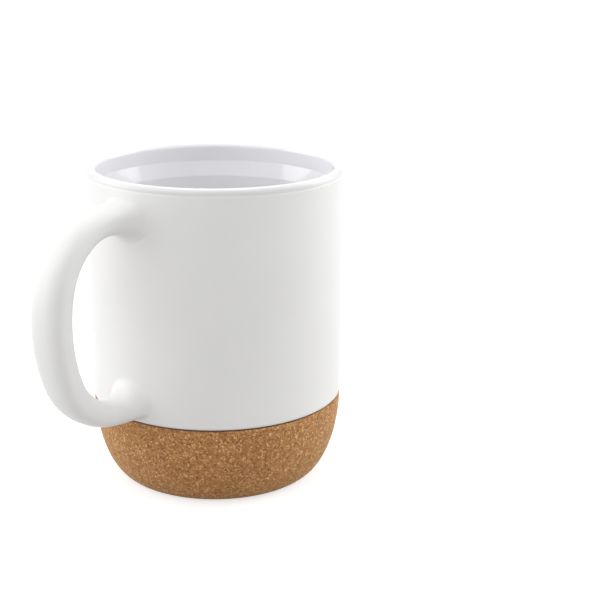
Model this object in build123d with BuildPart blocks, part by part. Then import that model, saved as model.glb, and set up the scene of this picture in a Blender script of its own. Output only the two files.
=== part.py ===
"""Stoneware mug on a cork base: clay vessel, luted handle, glossy liner glaze, cork cup and adhesive.

Frame: origin at the centre of the flat cork base, +Z up along the mug's axis, +X through the handle.
All lengths are in millimetres.
"""

import math
import os

from build123d import *

os.makedirs("parts", exist_ok=True)

# ---- overall sizes ----
rim_z = 106.6  # top of the glazed lip
seam_z = 28.3  # underside of the clay wall, where the cork starts
r_top = 42.5  # outer radius at the lip
wall_draft = 0.3  # the wall is this much smaller in radius just above the seam
base_in = 11.6  # the flat the mug rests on is this much smaller in radius than the wall

# ---- clay wall ----
lip_t = 3.3  # lip thickness over the glaze
glaze_t = 0.4  # liner glaze thickness
band_drop = 2.2  # how far the glossy glaze runs down the outside of the lip
bore_step = 1.5  # radius lost across the sloping shoulder inside
shoulder_top = 6.2  # shoulder starts this far below the lip
shoulder_run = 5.3  # height of the shoulder
shoulder_r = 2.0  # rounding where the sloping shoulder meets the upright walls
neck_run = 14.0  # height over which the inside draws in over the foot
neck_rise = 1.7  # the drawn-in part ends this far above the seam
foot_wall_t = 4.1  # clay wall of the foot
floor_t = 4.2  # clay floor thickness
inner_corner_r = 9.0
foot_fillet = 1.2  # rounded lower edge of the outer wall

# ---- stepped-in foot and its pocket in the cork ----
foot_step = 4.5  # the foot is this much smaller in radius than the wall
foot_corner_r = 10.0
glue_t = 0.35  # adhesive gap all round the foot and under the wall
glue_inset = 1.2  # the adhesive stops this far inside the outer wall, leaving a fine groove
cork_floor_t = 8.95
cork_edge_r = 0.5
cork_gap_r = 0.1  # the cork is this much smaller in radius than the clay above it
cork_power = 1.835  # exponent of the super-elliptical side, 2 is a true ellipse

# ---- handle ----
handle_reach = 35.1  # how far the loop stands out from the wall
handle_top_gap = 5.85  # lip down to the top of the loop
handle_low_gap = 0.15  # seam up to the underside of the loop, clear of the cork
handle_w = 13.2  # width across the loop's plane
handle_t = 9.2  # thickness in the loop's plane
handle_power = 3.0  # exponent of the super-elliptical section, 2 is a true ellipse

# Sections round the loop: outward share of the centre line's reach, height share from the bottom
# arm to the top arm, and factors on the half width and half thickness. The first four and last
# four flare into the wall.
handle_shape = [
    (-0.180, 0.985, 1.500, 1.587),
    (-0.033, 0.987, 1.348, 1.457),
    (0.059, 0.991, 1.174, 1.250),
    (0.167, 0.997, 1.061, 1.098),
    (0.308, 0.999, 1.015, 1.000),
    (0.482, 0.983, 1.000, 0.946),
    (0.649, 0.941, 1.000, 0.952),
    (0.787, 0.878, 1.000, 0.961),
    (0.889, 0.803, 1.000, 0.978),
    (0.961, 0.712, 1.000, 0.993),
    (0.998, 0.608, 1.000, 1.004),
    (0.993, 0.497, 1.000, 1.009),
    (0.957, 0.386, 1.000, 1.011),
    (0.889, 0.275, 1.000, 1.004),
    (0.784, 0.173, 1.000, 0.983),
    (0.633, 0.086, 0.992, 0.946),
    (0.452, 0.029, 1.000, 0.891),
    (0.272, 0.006, 1.015, 0.865),
    (0.134, 0.003, 1.076, 0.902),
    (0.043, 0.012, 1.197, 1.043),
    (-0.039, 0.023, 1.348, 1.217),
    (-0.180, 0.029, 1.485, 1.293),
]

# ---- derived sizes ----
r_seam = r_top - wall_draft
r_base = r_seam - base_in
foot_r = r_seam - foot_step
neck_r = foot_r - foot_wall_t
neck_end_z = seam_z + neck_rise
neck_top_z = neck_end_z + neck_run
glaze_r = lip_t / 2  # full-round lip over the glaze
clay_lip_r = glaze_r - glaze_t
lip_mid_r = r_top - glaze_r
lip_mid_z = rim_z - glaze_r
band_z = rim_z - band_drop
bore_r = r_top - lip_t + glaze_t  # clay bore above the shoulder
low_r = bore_r - bore_step  # clay bore below the shoulder
sh_a = rim_z - shoulder_top
sh_b = sh_a - shoulder_run
foot_z = cork_floor_t + glue_t
floor_z = foot_z + floor_t
cork_top_z = seam_z - glue_t
cork_top_r = r_seam - cork_gap_r
pocket_r = foot_r + glue_t
pocket_corner_r = foot_corner_r + glue_t
glue_r = r_seam - glue_inset


def s_curve(r_a, z_a, r_b, z_b):
    """Two equal arcs, upright at both ends, from (r_a, z_a) down to (r_b, z_b)."""
    mid = ((r_a + r_b) / 2, (z_a + z_b) / 2)
    TangentArc((r_a, z_a), mid, tangent=(0, -1))
    TangentArc((r_b, z_b), mid, tangent=(0, 1))


def slope(r_a, z_a, r_b, z_b):
    """A straight slope from (r_a, z_a) down to (r_b, z_b), rounded into the upright wall at each end."""
    lean = math.atan2(r_a - r_b, z_a - z_b)
    k = shoulder_r * math.tan(lean / 2)
    a0, a1 = (r_a, z_a + k), (r_a - k * math.sin(lean), z_a - k * math.cos(lean))
    b0, b1 = (r_b + k * math.sin(lean), z_b + k * math.cos(lean)), (r_b, z_b - k)
    TangentArc(a0, a1, tangent=(0, -1))
    Line(a1, b0)
    TangentArc(b1, b0, tangent=(0, 1))
    return a0, b1


def oval(half_w, half_t):
    """A closed super-elliptical outline with flatter faces and rounder corners than an ellipse."""
    around = []
    for j in range(12):
        c, s = math.cos(math.radians(30 * j)), math.sin(math.radians(30 * j))
        around.append(
            (
                half_w * math.copysign(abs(c) ** (2 / handle_power), c),
                half_t * math.copysign(abs(s) ** (2 / handle_power), s),
            )
        )
    with BuildLine() as outline:
        Spline(*around, periodic=True)
    make_face(outline.edges())


def bore(offset):
    """The inside of the vessel from the lip down to the axis, drawn in by offset from the clay."""
    start, end = slope(bore_r - offset, sh_a, low_r - offset, sh_b)
    Line((bore_r - offset, lip_mid_z), start)
    Line(end, (low_r - offset, neck_top_z))
    s_curve(low_r - offset, neck_top_z, neck_r - offset, neck_end_z)
    corner_z = floor_z + inner_corner_r
    Line((neck_r - offset, neck_end_z), (neck_r - offset, corner_z))
    CenterArc((neck_r - inner_corner_r, corner_z), inner_corner_r - offset, 0, -90)
    Line((neck_r - inner_corner_r, floor_z + offset), (0, floor_z + offset))


# ---- clay vessel: wall, shoulder, floor and stepped-in foot ----
with BuildPart() as stoneware_body:
    with BuildSketch(Plane.XZ):
        with BuildLine():
            Line((0, floor_z), (0, foot_z))
            Line((0, foot_z), (foot_r - foot_corner_r, foot_z))
            CenterArc((foot_r - foot_corner_r, foot_z + foot_corner_r), foot_corner_r, -90, 90)
            Line((foot_r, foot_z + foot_corner_r), (foot_r, seam_z))
            Line((foot_r, seam_z), (r_seam - foot_fillet, seam_z))
            CenterArc((r_seam - foot_fillet, seam_z + foot_fillet), foot_fillet, -90, 90)
            Line((r_seam, seam_z + foot_fillet), (r_top, band_z))
            Line((r_top, band_z), (r_top - glaze_t, band_z))
            Line((r_top - glaze_t, band_z), (r_top - glaze_t, lip_mid_z))
            CenterArc((lip_mid_r, lip_mid_z), clay_lip_r, 0, 180)
            bore(0.0)
        make_face()
    revolve(axis=Axis.Z)

# ---- glossy liner glaze: all of the inside, over the lip and a short band outside ----
with BuildPart() as liner_glaze:
    with BuildSketch(Plane.XZ):
        with BuildLine():
            Line((0, floor_z + glaze_t), (0, floor_z))
            bore(0.0)
            CenterArc((lip_mid_r, lip_mid_z), clay_lip_r, 0, 180)
            Line((r_top - glaze_t, lip_mid_z), (r_top - glaze_t, band_z))
            Line((r_top - glaze_t, band_z), (r_top, band_z))
            Line((r_top, band_z), (r_top, lip_mid_z))
            CenterArc((lip_mid_r, lip_mid_z), glaze_r, 0, 180)
            bore(glaze_t)
        make_face()
    revolve(axis=Axis.Z)

# ---- cork cup: super-elliptical side, flat base and a pocket for the foot ----
side_top_z = cork_top_z - cork_edge_r
side = []
for i in range(13):
    t = math.radians(90 * i / 12)
    side.append(
        (
            r_base + (cork_top_r - r_base) * math.cos(t) ** (2 / cork_power),
            side_top_z * (1 - math.sin(t) ** (2 / cork_power)),
        )
    )
with BuildPart() as cork_base:
    with BuildSketch(Plane.XZ):
        with BuildLine():
            Line((0, 0), (r_base, 0))
            Spline(*side, tangents=[(0, -1), (-1, 0)])
            CenterArc((cork_top_r - cork_edge_r, side_top_z), cork_edge_r, 0, 90)
            Line((cork_top_r - cork_edge_r, cork_top_z), (pocket_r, cork_top_z))
            Line((pocket_r, cork_top_z), (pocket_r, foot_z + foot_corner_r))
            CenterArc((foot_r - foot_corner_r, foot_z + foot_corner_r), pocket_corner_r, 0, -90)
            Line((foot_r - foot_corner_r, cork_floor_t), (0, cork_floor_t))
            Line((0, cork_floor_t), (0, 0))
        make_face()
    revolve(axis=Axis.Z)

# ---- adhesive: a cup round the foot with a flange under the wall ----
with BuildPart() as glue_layer:
    with BuildSketch(Plane.XZ):
        with BuildLine():
            Line((0, foot_z), (0, cork_floor_t))
            Line((0, cork_floor_t), (foot_r - foot_corner_r, cork_floor_t))
            CenterArc((foot_r - foot_corner_r, foot_z + foot_corner_r), pocket_corner_r, -90, 90)
            Line((pocket_r, foot_z + foot_corner_r), (pocket_r, cork_top_z))
            Line((pocket_r, cork_top_z), (glue_r, cork_top_z))
            Line((glue_r, cork_top_z), (glue_r, seam_z))
            Line((glue_r, seam_z), (foot_r, seam_z))
            Line((foot_r, seam_z), (foot_r, foot_z + foot_corner_r))
            CenterArc((foot_r - foot_corner_r, foot_z + foot_corner_r), foot_corner_r, 0, -90)
            Line((foot_r - foot_corner_r, foot_z), (0, foot_z))
        make_face()
    revolve(axis=Axis.Z)

# ---- handle: squared oval sections lofted round the loop, cut back to the outside of the wall ----
arm_top_z = rim_z - handle_top_gap - handle_t / 2
arm_low_z = seam_z + handle_low_gap + handle_t / 2
line_reach = handle_reach - handle_t / 2
handle_path = [
    (r_top + u * line_reach, arm_low_z + v * (arm_top_z - arm_low_z), w * handle_w / 2, t * handle_t / 2)
    for u, v, w, t in handle_shape
]
count = len(handle_path)
with BuildPart() as handle:
    for i, (x, z, half_w, half_t) in enumerate(handle_path):
        a = handle_path[max(i - 1, 0)]
        b = handle_path[min(i + 1, count - 1)]
        run, rise = b[0] - a[0], b[1] - a[1]
        if i in (0, count - 1):
            run, rise = (1.0 if i == 0 else -1.0), 0.0
        with BuildSketch(Plane(origin=(x, 0, z), x_dir=(0, 1, 0), z_dir=(run, 0, rise))):
            oval(half_w, half_t)
    loft()
    with BuildSketch(Plane.XZ):
        with BuildLine():
            Polyline(
                (0, seam_z - foot_fillet),
                (r_seam, seam_z - foot_fillet),
                (r_seam, seam_z + foot_fillet),
                (r_top, band_z),
                (0, band_z),
                close=True,
            )
        make_face()
    revolve(axis=Axis.Z, mode=Mode.SUBTRACT)

for name, node in (
    ("stoneware_body", stoneware_body),
    ("handle", handle),
    ("liner_glaze", liner_glaze),
    ("cork_base", cork_base),
    ("glue_layer", glue_layer),
):
    node.part.label = name
    export_step(node.part, f"parts/{name}.step")
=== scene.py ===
import math

import bpy
import numpy as np
from mathutils import Matrix, Vector


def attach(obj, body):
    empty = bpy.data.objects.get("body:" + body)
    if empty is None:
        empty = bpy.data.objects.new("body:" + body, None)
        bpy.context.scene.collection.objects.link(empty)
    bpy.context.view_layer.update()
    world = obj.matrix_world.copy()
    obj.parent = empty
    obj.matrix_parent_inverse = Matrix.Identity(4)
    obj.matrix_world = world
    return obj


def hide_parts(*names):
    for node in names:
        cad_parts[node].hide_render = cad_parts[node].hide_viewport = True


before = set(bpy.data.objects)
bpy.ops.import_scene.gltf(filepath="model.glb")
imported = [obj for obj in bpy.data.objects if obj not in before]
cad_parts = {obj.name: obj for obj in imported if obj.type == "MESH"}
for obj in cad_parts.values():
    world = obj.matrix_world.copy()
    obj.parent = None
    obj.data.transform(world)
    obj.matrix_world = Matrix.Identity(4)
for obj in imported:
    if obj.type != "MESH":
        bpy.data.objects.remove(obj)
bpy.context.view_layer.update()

MM = 0.001

# ---- sizes of the mug in millimetres: those of the solids, except SHOULDER_R, which is 2.0 there ----
RIM_Z, SEAM_Z = 106.6, 28.3  # top of the lip, and where clay meets cork
R_TOP, R_SEAM, R_BASE = 42.5, 42.2, 30.6  # outer radius at the lip, at the seam and of the flat underneath
LIP_T, GLAZE_T, BAND_DROP = 3.3, 0.4, 2.2  # the band is the liner glaze that shows outside the lip
SHOULDER_TOP, SHOULDER_RUN, BORE_STEP = 6.2, 5.3, 1.5  # drop from the lip, height, and radius lost
SHOULDER_R = 1.0  # rounding at each end of the shoulder
NECK_TOP_Z, NECK_END_Z, NECK_R = 44.0, 30.0, 33.6  # where the inside draws in over the foot
FOOT_R, FOOT_Z, FOOT_CORNER = 37.7, 9.3, 10.0
FLOOR_Z, INNER_CORNER, FOOT_FILLET = 13.5, 9.0, 1.2
GLUE_T, CORK_EDGE, CORK_POWER = 0.35, 0.5, 1.835  # the power is the cork side's, 2 is a true ellipse
CORK_TOP_Z, CORK_TOP_R, CORK_FLOOR = SEAM_Z - GLUE_T, 42.1, 8.95
LIP_R = LIP_T / 2
LIP_MID = (R_TOP - LIP_R, RIM_Z - LIP_R)
BORE_R = R_TOP - LIP_T + GLAZE_T
LOW_R = BORE_R - BORE_STEP
BAND_Z = RIM_Z - BAND_DROP

# small allowances, and the number of points that a bore's profile has across the floor
SHOULDER_CLEAR = 0.3  # straight wall left before each end of the shoulder
GLAZE_OFF = 0.02  # the glaze's hidden side keeps this far off the clay
WALL_SHY = 0.004  # the wall stays this far inside the glaze band
UNDER_BAND = 0.5  # how far the wall runs up under the band
SOFT_CORNER = 0.05  # bevel where the foot meets the underside of the wall
FLOOR_POINTS = 12


# ---- profiles: rows of (radius, height) ----
def line(p, q, n=2):
    """Points at equal steps on the straight run from p to q."""
    k = np.linspace(0, 1, n)[:, None]
    return np.asarray(p, float) * (1 - k) + np.asarray(q, float) * k


def arc(mid, r, a, b, n):
    """Points at equal angles on a circle of radius r about mid, from a to b degrees."""
    k = np.radians(np.linspace(a, b, n))
    return np.stack([mid[0] + r * np.cos(k), mid[1] + r * np.sin(k)], -1)


def s_curve(p, q, n):
    """An upright-ended S from p to q. The radius follows the smoother step of the height's share k,
    which is six times k to the fifth, less fifteen times its fourth, plus ten times its third power."""
    k = np.linspace(0, 1, n)
    ease = k ** 3 * (k * (6 * k - 15) + 10)
    return np.stack([p[0] + (q[0] - p[0]) * ease, p[1] + (q[1] - p[1]) * k], -1)


def slope(p, q, r, n):
    """A straight slope from p down to q between upright walls, eased by an arc of radius r at each end."""
    lean = math.degrees(math.atan2(p[0] - q[0], p[1] - q[1]))
    k = r * math.tan(math.radians(lean / 2))
    top = arc((p[0] - r, p[1] + k), r, 0, -lean, 5)
    low = arc((q[0] + r, q[1] - k), r, 180 - lean, 180, 5)
    return chain(top, line(top[-1], low[0], n), low)


def chain(*runs):
    """One profile from several runs, with the points that two runs share kept once."""
    rows = [runs[0]] + [r[1:] if np.allclose(r[0], p[-1]) else r for p, r in zip(runs[:-1], runs[1:])]
    return np.vstack(rows)


def bore(inset):
    """The inside of the cup from the lip to the axis: wall, shoulder, neck, corner and floor."""
    corner = (NECK_R - INNER_CORNER, FLOOR_Z + INNER_CORNER)
    sh_a, sh_b = RIM_Z - SHOULDER_TOP, RIM_Z - SHOULDER_TOP - SHOULDER_RUN
    return chain(
        line((BORE_R - inset, LIP_MID[1]), (BORE_R - inset, sh_a + SHOULDER_CLEAR), 6),
        slope((BORE_R - inset, sh_a), (LOW_R - inset, sh_b), SHOULDER_R, 8),
        line((LOW_R - inset, sh_b - SHOULDER_CLEAR), (LOW_R - inset, NECK_TOP_Z), 24),
        s_curve((LOW_R - inset, NECK_TOP_Z), (NECK_R - inset, NECK_END_Z), 26),
        line((NECK_R - inset, NECK_END_Z), (NECK_R - inset, corner[1]), 6),
        arc(corner, INNER_CORNER - inset, 0, -90, 20),
        line((corner[0], FLOOR_Z + inset), (0, FLOOR_Z + inset), FLOOR_POINTS),
    )


# ---- meshes ----
def grid_mesh(name, points):
    """A mesh from a rows x columns x 3 array of points: neighbours are joined in quads, the columns
    close into rings, and each end row is drawn to one pole at its mean."""
    rows, cols = points.shape[:2]
    index = np.arange(rows * cols).reshape(rows, cols)
    nxt = np.roll(index, -1, axis=1)
    quads = np.stack([index[:-1], nxt[:-1], nxt[1:], index[1:]], -1).reshape(-1, 4)
    poles = np.stack([points[0].mean(0), points[-1].mean(0)])
    verts = np.vstack([points.reshape(-1, 3), poles])
    first_pole, last_pole = rows * cols, rows * cols + 1
    tris = np.vstack([
        np.stack([np.full(cols, first_pole), nxt[0], index[0]], -1),
        np.stack([np.full(cols, last_pole), index[-1], nxt[-1]], -1),
    ])
    mesh = bpy.data.meshes.new(name)
    mesh.vertices.add(len(verts))
    mesh.vertices.foreach_set("co", np.ascontiguousarray(verts * MM, "f").ravel())
    loops = np.concatenate([quads.ravel(), tris.ravel()])
    mesh.loops.add(len(loops))
    mesh.loops.foreach_set("vertex_index", loops.astype("i"))
    starts = np.concatenate([np.arange(len(quads)) * 4, len(quads) * 4 + np.arange(len(tris)) * 3])
    mesh.polygons.add(len(starts))
    mesh.polygons.foreach_set("loop_start", starts.astype("i"))
    mesh.update(calc_edges=True)
    mesh.validate()
    mesh.polygons.foreach_set("use_smooth", np.ones(len(mesh.polygons), bool))
    piece = bpy.data.objects.new(name, mesh)
    bpy.context.scene.collection.objects.link(piece)
    return piece


def turned(name, profile, around, swell=None):
    """A surface of revolution: each radius times the cosine and sine of the angle, at each height. The
    profile starts and ends on the axis, where the poles take over. A swell may change the radius and
    height by the angle."""
    rings = profile[1:-1]
    angle = np.linspace(0, 2 * math.pi, around, endpoint=False)[None, :]
    r, z = rings[:, :1], rings[:, 1:]
    r = r + np.zeros_like(angle)
    z = z + np.zeros_like(angle)
    if swell is not None:
        r, z = swell(angle, r, z)
    return grid_mesh(name, np.stack([r * np.cos(angle), r * np.sin(angle), z], -1))


def cubic(knots, values, at):
    """A natural cubic spline through the values at the knots, solved as one linear system."""
    n = len(knots)
    h = np.diff(knots)
    m = np.eye(n)
    rhs = np.zeros((n,) + values.shape[1:])
    i = np.arange(1, n - 1)
    m[i, i - 1], m[i, i], m[i, i + 1] = h[:-1], 2 * (h[:-1] + h[1:]), h[1:]
    gradient = np.diff(values, axis=0) / h[:, None]
    rhs[1:-1] = 6 * np.diff(gradient, axis=0)
    bend = np.linalg.solve(m, rhs)
    k = np.clip(np.searchsorted(knots, at, side="right") - 1, 0, n - 2)
    a, b = (knots[k + 1] - at)[:, None], (at - knots[k])[:, None]
    hk = h[k][:, None]
    curved = (bend[k] * a ** 3 + bend[k + 1] * b ** 3) / (6 * hk)
    return curved + (values[k] / hk - bend[k] * hk / 6) * a + (values[k + 1] / hk - bend[k + 1] * hk / 6) * b


# ---- clay vessel ----
# The outer wall leans out a little from a rounded lower edge to the lip, where it steps in under the glaze.
outside = chain(
    line((0, FOOT_Z), (FOOT_R - FOOT_CORNER, FOOT_Z), 8),
    arc((FOOT_R - FOOT_CORNER, FOOT_Z + FOOT_CORNER), FOOT_CORNER, -90, 0, 14),
    line((FOOT_R, FOOT_Z + FOOT_CORNER), (FOOT_R, SEAM_Z - SOFT_CORNER), 4),
    line((FOOT_R + SOFT_CORNER, SEAM_Z), (R_SEAM - FOOT_FILLET, SEAM_Z), 8),
    arc((R_SEAM - FOOT_FILLET, SEAM_Z + FOOT_FILLET), FOOT_FILLET, -90, 0, 14),
    line((R_SEAM, SEAM_Z + FOOT_FILLET), (R_TOP - WALL_SHY, BAND_Z + UNDER_BAND), 60),
    line((R_TOP - GLAZE_T, BAND_Z + UNDER_BAND + 0.06), LIP_MID + np.array((LIP_R - GLAZE_T, 0)), 2),
    arc(LIP_MID, LIP_R - GLAZE_T, 0, 180, 18),
    bore(0.0),
)
vessel = turned("vessel", outside, 288)
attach(vessel, "root")
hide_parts("stoneware_body")


# ---- glossy liner ----
WAVES = ((3, 0.10, 0.7), (7, 0.07, 2.1), (13, 0.05, 4.0))  # waves round the lip, height in mm, start


def glaze_edge(angle, r, z):
    """The glaze's lower edge wavers: the lowest part of the band outside moves up and down by a sum of
    three waves round the lip, and fades out above."""
    wave = sum(size * np.sin(times * angle + start) for times, size, start in WAVES)
    outside_lip = r > R_TOP - 1.2
    share = np.clip((LIP_MID[1] - z) / (LIP_MID[1] - BAND_Z), 0, 1) * outside_lip
    return r, z + wave * share


liner = turned(
    "liner",
    chain(
        line((0, FLOOR_Z + GLAZE_OFF / 2), (NECK_R - INNER_CORNER, FLOOR_Z + GLAZE_OFF / 2), 2),
        bore(GLAZE_OFF)[::-1][FLOOR_POINTS:],
        arc(LIP_MID, LIP_R - GLAZE_T + GLAZE_OFF, 180, 0, 18),
        line((R_TOP - GLAZE_T + GLAZE_OFF, LIP_MID[1] - GLAZE_OFF), (R_TOP - 0.05, BAND_Z + 0.04), 3),
        # the band's lower edge, with a rounded corner
        line((R_TOP - 0.03, BAND_Z), (R_TOP + 0.004, BAND_Z + 0.03), 3),
        line((R_TOP + 0.012, BAND_Z + 0.06), (R_TOP, LIP_MID[1]), 6),
        arc(LIP_MID, LIP_R, 0, 180, 34),
        bore(GLAZE_T),
    ),
    288,
    glaze_edge,
)
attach(liner, "root")
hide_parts("liner_glaze")

# ---- handle ----
# Centre line and half sizes: distance from the mug's axis, height, half width and half thickness.
LOOP = np.array([
    (42.3, 95.70, 6.95, 4.80), (47.0, 96.00, 6.90, 4.75), (51.7, 96.10, 6.90, 4.60),
    (56.5, 95.30, 6.85, 4.45), (61.0, 93.30, 6.85, 4.42), (65.2, 89.80, 6.85, 4.45),
    (68.7, 85.20, 6.85, 4.50), (71.2, 79.60, 6.90, 4.58), (72.6, 73.20, 6.95, 4.64),
    (73.0, 66.50, 7.00, 4.66), (72.6, 60.30, 7.00, 4.66), (71.4, 54.20, 6.95, 4.64),
    (69.6, 48.45, 6.90, 4.66), (66.8, 43.15, 6.85, 4.64), (62.9, 38.95, 6.85, 4.58),
    (58.4, 35.95, 6.85, 4.32), (53.2, 34.00, 6.85, 3.72), (47.5, 33.30, 6.85, 3.42),
    (42.3, 33.20, 6.85, 3.50),
])
SQUARENESS = 2.5  # exponent of the section's super-ellipse
POINTED = 1.4  # power of the sines in a root's pointed side
TOP_RUN, LOW_RUN = 7.5, 8.0  # how far along its arm each root fillet reaches
# What a root fillet adds on the wall: the mean of its top and bottom, half of what the top has over the
# bottom, and what the sides have over that mean.
TOP_FLARE, LOW_FLARE = (2.3, -0.3, 0.9), (3.6, 3.3, -1.5)
CROWD = 0.56  # how much closer together the rings are toward the roots
CORNER_CROWD = 0.16  # how much closer the points of a ring are at its corners
BEND_RUN = 11.0  # the rings within this run of a root are bent to the round wall
TANGENT_STEP = 0.05
# Skirts: how far each ring of one spreads from the root, and how deep it lies in the clay.
SKIRT = ((0.5, 0.02), (0.9, 0.12), (0.6, 0.6), (-1.5, 1.6))
SKIRT_CLEAR = 0.25  # a skirt stays this far above the seam


def wall_radius(z):
    """Outer radius of the clay wall at a height, with its rounded lower edge."""
    lean = R_SEAM + (R_TOP - R_SEAM) * (z - SEAM_Z - FOOT_FILLET) / (BAND_Z - SEAM_Z - FOOT_FILLET)
    dip = np.clip(SEAM_Z + FOOT_FILLET - z, 0, FOOT_FILLET)
    return np.where(dip > 0, R_SEAM - FOOT_FILLET + np.sqrt(FOOT_FILLET ** 2 - dip ** 2), lean)


def flare_at(flare, up):
    """Growth of a root fillet on the wall for a direction that points up by the given share."""
    return flare[0] + flare[1] * up + flare[2] * (1 - up * up)


def signed_power(v, power):
    """The size of each value raised to a power, with the value's own sign."""
    return np.sign(v) * np.abs(v) ** power


def skirt(ring, mid_z):
    """Rings that run on from a root along the wall just under its surface, then turn into the clay: the
    root's outline moved outwards from its middle by each spread, at the wall's radius less each depth."""
    away = ring[:, 1:] - np.array([0, mid_z])
    away /= np.linalg.norm(away, axis=1)[:, None]
    rings = []
    for spread, depth in SKIRT:
        yz = ring[:, 1:] + away * spread
        yz[:, 1] = np.maximum(yz[:, 1], SEAM_Z + SKIRT_CLEAR)
        x = np.sqrt(wall_radius(yz[:, 1]) ** 2 - yz[:, 0] ** 2) - depth
        rings.append(np.stack([x, yz[:, 0], yz[:, 1]], -1))
    return rings


def handle_points(along=240, around=80):
    """Super-ellipse rings round the loop's centre line: half thickness times the cosine and half width
    times the sine, each raised to two over the squareness. Near each end a ring grows by a quarter
    ellipse, which leaves the arm flush and meets the wall flush, and bends to the round wall."""
    chord = np.concatenate([[0], np.cumsum(np.hypot(*np.diff(LOOP[:, :2], axis=0).T))])
    total = chord[-1]
    u = np.linspace(0, 1, along)
    s = total * (u - CROWD * np.sin(2 * math.pi * u) / (2 * math.pi))
    row = cubic(chord, LOOP, s)
    ahead = cubic(chord, LOOP, np.clip(s + TANGENT_STEP, 0, total))
    behind = cubic(chord, LOOP, np.clip(s - TANGENT_STEP, 0, total))
    tangent = (ahead - behind)[:, :2]
    tangent /= np.linalg.norm(tangent, axis=1)[:, None]
    out = np.stack([-tangent[:, 1], tangent[:, 0]], -1)
    a = np.linspace(0, 2 * math.pi, around, endpoint=False)
    a = a - CORNER_CROWD * np.sin(4 * a)
    ca, sa = np.cos(a), np.sin(a)
    first = s[:, None] < total / 2
    up = np.where(first, ca[None], -ca[None])
    near = np.minimum(s, total - s)[:, None]
    gap = np.clip(1 - near / np.where(first, TOP_RUN, LOW_RUN), 0, 1)
    grow = np.where(first, flare_at(TOP_FLARE, up), flare_at(LOW_FLARE, up)) * (1 - np.sqrt(1 - gap ** 2))
    # on the side of the other arm a root runs to a point, and it stays squared on its other side
    power = np.where(up * np.where(first, -1, 1) > 0, POINTED, 2 / SQUARENESS)
    t = row[:, 3:4] * signed_power(ca, 2 / SQUARENESS) + grow * signed_power(ca, power)
    w = row[:, 2:3] * signed_power(sa, 2 / SQUARENESS) + grow * signed_power(sa, power)
    x = row[:, 0:1] + out[:, 0:1] * t
    z = row[:, 1:2] + out[:, 1:2] * t
    y = -w
    bend = np.clip(1 - near / BEND_RUN, 0, 1)
    bend = bend * bend * (3 - 2 * bend)
    sink = np.sqrt(wall_radius(z) ** 2 - y ** 2)
    flat = np.where(first, LOOP[0, 0], LOOP[-1, 0])
    x = x + (sink - flat) * bend
    pts = np.stack([x, y, z], -1)
    top, low = skirt(pts[0], row[0, 1]), skirt(pts[-1], row[-1, 1])
    return np.concatenate([np.stack(top[::-1]), pts, np.stack(low)], 0)


handle = grid_mesh("handle_loop", handle_points())
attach(handle, "root")
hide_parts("handle")


# ---- cork ----
GRANULE = 1.0  # mm across
GROOVE_DEPTH, GROOVE_WIDTH = 0.045, 0.13
PIT_DEPTH, PIT_R, PIT_SHARE = 0.14, 0.55, 0.07  # the share is of granules that have fallen out
UNEVEN = 0.02  # how much lower the lowest granule sits
SKIN_T = 2.2  # the grooves and pits keep to this much of the cork under its rounded side


def hashed(cell, seed):
    """A repeatable number from 0 to 1 for each whole-number cell, from the fraction of a large sine."""
    v = np.sin(cell @ np.array([127.1, 311.7, 74.7]) + seed * 17.17) * 43758.5453
    return v - np.floor(v)


def granules(p, size):
    """Distance from each point to the nearest and second nearest of points scattered one to a cell of
    the given size, and the nearest one's own number."""
    q = p / size
    base = np.floor(q)
    best = np.full(len(p), 9.0)
    second = np.full(len(p), 9.0)
    own = np.zeros(len(p))
    for step in np.ndindex(3, 3, 3):
        cell = base + (np.array(step) - 1)
        seat = cell + np.stack([hashed(cell, 1), hashed(cell, 2), hashed(cell, 3)], -1)
        d = np.linalg.norm(seat - q, axis=1)
        closer = d < best
        second = np.where(closer, best, np.minimum(second, d))
        own = np.where(closer, hashed(cell, 4), own)
        best = np.where(closer, d, best)
    return best * size, second * size, own


def cork_skin(angle, r, z):
    """Pits in the sanded cork: a granule sits a little low or high by its own number, and the gaps
    between granules are shallow grooves. Only the rounded side is changed."""
    p = np.stack([r * np.cos(angle), r * np.sin(angle), z], -1).reshape(-1, 3)
    near, next_near, own = granules(p, GRANULE)
    groove = np.exp(-((next_near - near) / GROOVE_WIDTH) ** 2)
    pit = np.where(own > 1 - PIT_SHARE, PIT_DEPTH * np.clip(1 - near / PIT_R, 0, 1), 0)
    depth = (GROOVE_DEPTH * groove + pit + UNEVEN * own).reshape(r.shape)
    side = np.clip((z - 0.25) / 0.5, 0, 1) * np.clip((CORK_TOP_Z - 0.1 - z) / 0.4, 0, 1) * (r > FOOT_R - 9)
    round_side = R_BASE + (CORK_TOP_R - R_BASE) * np.sqrt(np.clip(1 - (1 - z / CORK_TOP_Z) ** 2, 0, 1))
    outer = r > round_side - SKIN_T
    return r - depth * side * outer, z


# the rounded side is a quarter super-ellipse from the flat underneath to the top edge
quarter = np.linspace(0, math.pi / 2, 92)
side_top = CORK_TOP_Z - CORK_EDGE
side = np.stack([
    R_BASE + (CORK_TOP_R - R_BASE) * np.cos(quarter) ** (2 / CORK_POWER),
    side_top * (1 - np.sin(quarter) ** (2 / CORK_POWER)),
], -1)[::-1]
pocket = (FOOT_R - FOOT_CORNER, FOOT_Z + FOOT_CORNER)
cork = turned(
    "cork_cup",
    chain(
        line((0, 0), (R_BASE, 0), 16),
        side,
        arc((CORK_TOP_R - CORK_EDGE, side_top), CORK_EDGE, 0, 90, 7),
        line((CORK_TOP_R - CORK_EDGE, CORK_TOP_Z), (FOOT_R + GLUE_T, CORK_TOP_Z), 6),
        line((FOOT_R + GLUE_T, CORK_TOP_Z - 0.02), (FOOT_R + GLUE_T, pocket[1]), 3),
        arc(pocket, FOOT_CORNER + GLUE_T, 0, -90, 10),
        line((pocket[0], CORK_FLOOR), (0, CORK_FLOOR), 4),
    ),
    640,
    cork_skin,
)
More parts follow.
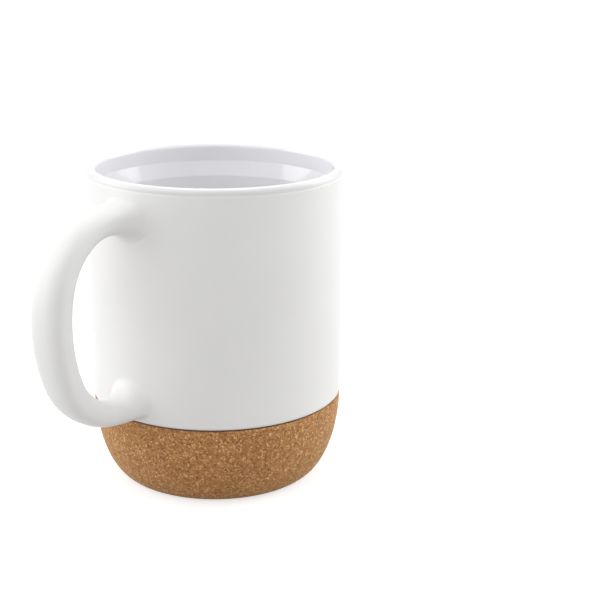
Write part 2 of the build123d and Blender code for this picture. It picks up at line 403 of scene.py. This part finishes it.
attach(cork, "root")
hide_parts("cork_base")


# ---- finishes ----
class Finish:
    """A node material on Object coordinates. add() places a node, sets or links its inputs and returns
    it. The other methods return the output socket of the node they name."""

    def __init__(self, name):
        self.mat = bpy.data.materials.new(name)
        self.mat.use_nodes = True
        self.tree = self.mat.node_tree
        self.shader = self.tree.nodes["Principled BSDF"]
        self.place = self.tree.nodes.new("ShaderNodeTexCoord").outputs["Object"]

    def add(self, kind, inputs=None, **settings):
        node = self.tree.nodes.new(kind)
        for key, value in settings.items():
            setattr(node, key, value)
        for key, value in (inputs or {}).items():
            self.give(node, key, value)
        return node

    def give(self, node, key, value):
        if isinstance(value, bpy.types.NodeSocket):
            self.tree.links.new(value, node.inputs[key])
        else:
            node.inputs[key].default_value = value

    def noise(self, scale, detail=2.0, rough=0.5, vector=None):
        return self.add("ShaderNodeTexNoise", {"Scale": scale, "Detail": detail, "Roughness": rough,
                                               "Vector": vector or self.place})

    def ramp(self, source, *stops, interpolation="LINEAR"):
        node = self.add("ShaderNodeValToRGB", {"Fac": source})
        node.color_ramp.interpolation = interpolation
        elements = node.color_ramp.elements
        while len(elements) < len(stops):
            elements.new(0.5)
        for e, (at, colour) in zip(elements, stops):
            e.position = at
            e.color = (*colour, 1) if len(colour) == 3 else colour
        return node.outputs["Color"]

    def span(self, source, low, high, a, b):
        return self.add("ShaderNodeMapRange", {"Value": source, "From Min": low, "From Max": high,
                                               "To Min": a, "To Max": b}).outputs["Result"]

    def sum(self, a, b, how="ADD"):
        node = self.add("ShaderNodeMath", operation=how)
        self.give(node, 0, a)
        self.give(node, 1, b)
        return node.outputs[0]

    def mix(self, fac, a, b, how="MIX"):
        node = self.add("ShaderNodeMix", data_type="RGBA", blend_type=how)
        self.give(node, 0, fac)
        self.give(node, 6, a)
        self.give(node, 7, b)
        return node.outputs[2]

    def bump(self, height, distance, strength=1.0, normal=None):
        inputs = {"Height": height, "Distance": distance, "Strength": strength}
        if normal is not None:
            inputs["Normal"] = normal
        return self.add("ShaderNodeBump", inputs).outputs["Normal"]

    def on(self, piece):
        piece.data.materials.clear()
        piece.data.materials.append(self.mat)


def grey(v):
    return (v, v, v)


# satin matte outer glaze: near white, a slow warm and cool drift, a faint skin of ripples and pinholes
satin = Finish("satin_white_glaze")
drift = satin.noise(22, 3, 0.55)
fine = satin.noise(900, 2, 0.6)
tone = satin.ramp(drift.outputs["Fac"], (0.3, (0.790, 0.785, 0.770)), (0.7, (0.825, 0.822, 0.812)))
speck = satin.add("ShaderNodeTexVoronoi", {"Scale": 420.0, "Vector": satin.place}, feature="F1")
dots = satin.span(speck.outputs["Distance"], 0.03, 0.09, 0.35, 0.0)
colour = satin.mix(dots, tone, (0.72, 0.705, 0.67, 1))
satin.give(satin.shader, "Base Color", colour)
satin.give(satin.shader, "Roughness", satin.span(fine.outputs["Fac"], 0.3, 0.7, 0.40, 0.50))
ripple = satin.noise(130, 2, 0.5)
satin.give(satin.shader, "Normal", satin.bump(ripple.outputs["Fac"], 0.00006, 0.5,
                                             satin.bump(fine.outputs["Fac"], 0.00001, 0.4)))
satin.shader.inputs["IOR"].default_value = 1.5
satin.on(vessel)
satin.on(handle)

# gloss liner glaze: cooler, glassy, with a slow orange-peel; below the crest on the outer side the colour is
# darkened as painted shade and the gloss is rougher
gloss = Finish("gloss_liner_glaze")
drift = gloss.noise(30, 2, 0.5)
tone = gloss.ramp(drift.outputs["Fac"], (0.3, (0.815, 0.815, 0.838)), (0.7, (0.845, 0.845, 0.865)))
level = gloss.add("ShaderNodeSeparateXYZ", {"Vector": gloss.place}).outputs["Z"]
flat = gloss.add("ShaderNodeVectorMath", {0: gloss.place, 1: (1, 1, 0)}, operation="MULTIPLY").outputs[0]
out_from_axis = gloss.add("ShaderNodeVectorMath", {0: flat}, operation="LENGTH").outputs["Value"]
outer_side = gloss.span(out_from_axis, (LIP_MID[0] + 0.1) * MM, (LIP_MID[0] + 0.7) * MM, 0.0, 1.0)
below_crest = gloss.span(level, (RIM_Z - 0.12) * MM, (RIM_Z - 0.5) * MM, 0.0, 1.0)
painted_shade_and_dull_band = gloss.sum(outer_side, below_crest, "MULTIPLY")
# painted shade: on the outer side below the crest the colour is mixed toward a darker grey, and the roughness
# rises there
gloss.give(gloss.shader, "Base Color", gloss.mix(painted_shade_and_dull_band, tone, (0.745, 0.743, 0.750, 1)))
shine = gloss.span(gloss.noise(200, 2).outputs["Fac"], 0.3, 0.7, 0.07, 0.12)
gloss.give(gloss.shader, "Roughness", gloss.sum(shine, gloss.sum(painted_shade_and_dull_band, 0.22, "MULTIPLY")))
gloss.give(gloss.shader, "Normal", gloss.bump(gloss.noise(90, 1.5).outputs["Fac"], 0.00008, 0.5))
gloss.shader.inputs["IOR"].default_value = 1.52
gloss.on(liner)

# agglomerated cork: granules in two sizes, each its own tan, dark bark flecks, pale flecks and binder lines
bark = Finish("agglomerated_cork")
warp = bark.noise(1500, 3, 0.65)
middle = (0.5, 0.5, 0.5)
shift = bark.add("ShaderNodeVectorMath", {0: warp.outputs["Color"], 1: middle}, operation="SUBTRACT")
shift = bark.add("ShaderNodeVectorMath", {0: shift.outputs[0], "Scale": 0.0008}, operation="SCALE")
bent = bark.add("ShaderNodeVectorMath", {0: bark.place, 1: shift.outputs[0]}, operation="ADD").outputs[0]
big = bark.add("ShaderNodeTexVoronoi", {"Scale": 900.0, "Vector": bent, "Randomness": 1.0}, feature="F1")
small = bark.add("ShaderNodeTexVoronoi", {"Scale": 1900.0, "Vector": bent, "Randomness": 1.0}, feature="F1")
edge = bark.add("ShaderNodeTexVoronoi", {"Scale": 900.0, "Vector": bent}, feature="DISTANCE_TO_EDGE")
big_no = bark.add("ShaderNodeSeparateColor", {"Color": big.outputs["Color"]})
small_no = bark.add("ShaderNodeSeparateColor", {"Color": small.outputs["Color"]})
grain = bark.noise(3800, 2, 0.6)
body = bark.ramp(big_no.outputs["Red"], (0.0, (0.340, 0.140, 0.043)), (0.35, (0.432, 0.188, 0.058)),
                 (0.75, (0.517, 0.241, 0.081)), (1.0, (0.630, 0.325, 0.120)))
little = bark.ramp(small_no.outputs["Red"], (0.0, (0.250, 0.096, 0.029)), (0.3, (0.405, 0.174, 0.056)),
                   (0.75, (0.535, 0.251, 0.088)), (1.0, (0.800, 0.455, 0.188)))
colour = bark.mix(0.58, body, little)
dark = bark.span(small_no.outputs["Green"], 0.87, 0.93, 0.0, 1.0)
colour = bark.mix(bark.sum(dark, 0.72, "MULTIPLY"), colour, (0.140, 0.052, 0.017, 1))
pale = bark.span(small_no.outputs["Blue"], 0.90, 0.94, 0.0, 1.0)
colour = bark.mix(bark.sum(pale, 0.65, "MULTIPLY"), colour, (0.95, 0.62, 0.31, 1))
lines = bark.span(edge.outputs["Distance"], 0.0, 0.06, 0.38, 0.0)
colour = bark.mix(lines, colour, (0.19, 0.078, 0.028, 1))
gritty = bark.ramp(grain.outputs["Fac"], (0.3, grey(0.60)), (0.7, grey(1.40)))
colour = bark.mix(0.6, colour, gritty, "MULTIPLY")
patch = bark.noise(110, 3, 0.6)
patchy = bark.ramp(patch.outputs["Fac"], (0.3, grey(0.84)), (0.7, grey(1.18)))
colour = bark.mix(0.35, colour, patchy, "MULTIPLY")
bark.give(bark.shader, "Base Color", colour)
bark.give(bark.shader, "Roughness", bark.span(grain.outputs["Fac"], 0.3, 0.7, 0.72, 0.88))
crown = bark.span(edge.outputs["Distance"], 0.0, 0.12, 0.0, 1.0)
height = bark.sum(crown, bark.sum(grain.outputs["Fac"], 0.6, "MULTIPLY"))
height = bark.sum(height, bark.sum(dark, 0.9, "MULTIPLY"), "SUBTRACT")
bark.give(bark.shader, "Normal", bark.bump(height, 0.00009, 0.6))
bark.shader.inputs["Specular IOR Level"].default_value = 0.3
bark.shader.inputs["Sheen Weight"].default_value = 0.30
bark.shader.inputs["Sheen Tint"].default_value = (1.0, 0.78, 0.45, 1)
bark.on(cork)

# cured adhesive in the groove under the clay
glue = Finish("cured_adhesive")
glue.give(glue.shader, "Base Color", glue.ramp(glue.noise(300, 3).outputs["Fac"], (0.3, (0.055, 0.030, 0.026)),
                                              (0.7, (0.11, 0.066, 0.055))))
glue.give(glue.shader, "Roughness", glue.span(glue.noise(700).outputs["Fac"], 0.3, 0.7, 0.5, 0.7))
glue.on(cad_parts["glue_layer"])

# ---- camera: set round from the handle, close to the mug and looking a little past it ----
ROUND, REACH, HEIGHT = 42.6, 0.4524, 0.19176
TURN, TILT, ROLL = 3.805, -16.502, -0.444
MUG_LENS = 81.56
round_angle = math.radians(ROUND)
spot = Vector((REACH * math.cos(round_angle), REACH * math.sin(round_angle), HEIGHT))
facing = round_angle + math.pi - math.radians(TURN)
tilt = math.radians(TILT)
ahead = Vector((math.cos(facing) * math.cos(tilt), math.sin(facing) * math.cos(tilt), math.sin(tilt)))
right = ahead.cross(Vector((0, 0, 1))).normalized()
above = right.cross(ahead)
c, s = math.cos(math.radians(ROLL)), math.sin(math.radians(ROLL))
right, above = right * c - above * s, right * s + above * c
lens = bpy.data.cameras.new("camera")
lens.lens, lens.sensor_width = MUG_LENS, 36
camera = bpy.data.objects.new("camera", lens)
camera.matrix_world = Matrix.Translation(spot) @ Matrix([right, above, -ahead]).transposed().to_4x4()
bpy.context.scene.collection.objects.link(camera)
bpy.context.scene.camera = camera

# ---- floor and room: plain white to the eye and in reflections, dimmer as light on the mug ----
def seen_by(tree, *rays):
    """1 where a ray is of one of the named kinds, else 0: the largest of Light Path's outputs."""
    path = tree.nodes.new("ShaderNodeLightPath")
    largest = path.outputs[rays[0]]
    for ray in rays[1:]:
        node = tree.nodes.new("ShaderNodeMath")
        node.operation = "MAXIMUM"
        tree.links.new(largest, node.inputs[0])
        tree.links.new(path.outputs[ray], node.inputs[1])
        largest = node.outputs[0]
    return largest


FLOOR_HALF, FLOOR_TONE, FLOOR_GLOW = 4, 0.54, 0.66
floor_mesh = bpy.data.meshes.new("floor")
corners = [(-FLOOR_HALF, -FLOOR_HALF, 0), (FLOOR_HALF, -FLOOR_HALF, 0),
           (FLOOR_HALF, FLOOR_HALF, 0), (-FLOOR_HALF, FLOOR_HALF, 0)]
floor_mesh.from_pydata(corners, [], [(0, 1, 2, 3)])
floor = bpy.data.objects.new("floor", floor_mesh)
bpy.context.scene.collection.objects.link(floor)
ground = bpy.data.materials.new("white_floor")
ground.use_nodes = True
tree = ground.node_tree
tree.nodes.clear()
out = tree.nodes.new("ShaderNodeOutputMaterial")
join = tree.nodes.new("ShaderNodeAddShader")
matte = tree.nodes.new("ShaderNodeBsdfDiffuse")
matte.inputs["Color"].default_value = (*grey(FLOOR_TONE), 1)
glow = tree.nodes.new("ShaderNodeEmission")
glow_power = tree.nodes.new("ShaderNodeMath")
glow_power.operation = "MULTIPLY"
glow_power.inputs[1].default_value = FLOOR_GLOW
tree.links.new(seen_by(tree, "Is Camera Ray", "Is Glossy Ray"), glow_power.inputs[0])
tree.links.new(glow_power.outputs[0], glow.inputs["Strength"])
tree.links.new(matte.outputs[0], join.inputs[0])
tree.links.new(glow.outputs[0], join.inputs[1])
tree.links.new(join.outputs[0], out.inputs["Surface"])
floor.data.materials.append(ground)

ROOM_AS_LIGHT, ROOM_AS_SEEN = 0.72, 1.0
scene = bpy.context.scene
scene.view_settings.view_transform = "Standard"
world = bpy.data.worlds.new("white_room")
scene.world = world
world.use_nodes = True
tree = world.node_tree
tree.nodes.clear()
out = tree.nodes.new("ShaderNodeOutputWorld")
back = tree.nodes.new("ShaderNodeBackground")
back.inputs["Color"].default_value = (1, 1, 1, 1)
strength = tree.nodes.new("ShaderNodeMapRange")
strength.inputs["To Min"].default_value = ROOM_AS_LIGHT
strength.inputs["To Max"].default_value = ROOM_AS_SEEN
seen = seen_by(tree, "Is Camera Ray", "Is Glossy Ray", "Is Transmission Ray")
tree.links.new(seen, strength.inputs["Value"])
tree.links.new(strength.outputs["Result"], back.inputs["Strength"])
tree.links.new(back.outputs[0], out.inputs["Surface"])


# ---- lamps: a large soft box each side, one overhead, and eight small banks round the mug from above ----
MUG_MIDDLE = Vector((0, 0, 0.055))


def soft_box(name, round_from_camera, up, away, size, power):
    """A lamp of width and height size aimed at the mug's middle, placed by its angle round from the
    camera, its height angle and its distance."""
    at, rise = math.radians(ROUND + round_from_camera), math.radians(up)
    toward = Vector((math.cos(at) * math.cos(rise), math.sin(at) * math.cos(rise), math.sin(rise)))
    spot = MUG_MIDDLE + away * toward
    data = bpy.data.lights.new(name, "AREA")
    data.shape, data.size, data.size_y, data.energy = "RECTANGLE", size[0], size[1], power
    lamp = bpy.data.objects.new(name, data)
    lamp.location = spot
    lamp.rotation_mode = "QUATERNION"
    lamp.rotation_quaternion = (MUG_MIDDLE - spot).to_track_quat("-Z", "Y")
    scene.collection.objects.link(lamp)


soft_box("left_box", -98, 8, 1.0, (0.8, 0.8), 5.0)
soft_box("right_box", 106, 16, 1.0, (0.7, 0.7), 3.9)
soft_box("top_box", 180, 78, 1.1, (0.6, 0.6), 2.0)
# each bank's angle round from the camera and its power
BANKS = (
    (-122, 0.52), (-92, 0.55), (-62, 0.60), (-32, 0.44),
    (32, 0.24), (62, 0.30), (92, 0.56), (122, 0.56),
)
BANK_RISE, BANK_SIZE = 44, (0.50, 0.24)
for at, power in BANKS:
    soft_box(f"bank_{at + 180}", at, BANK_RISE, 1.0, BANK_SIZE, power)
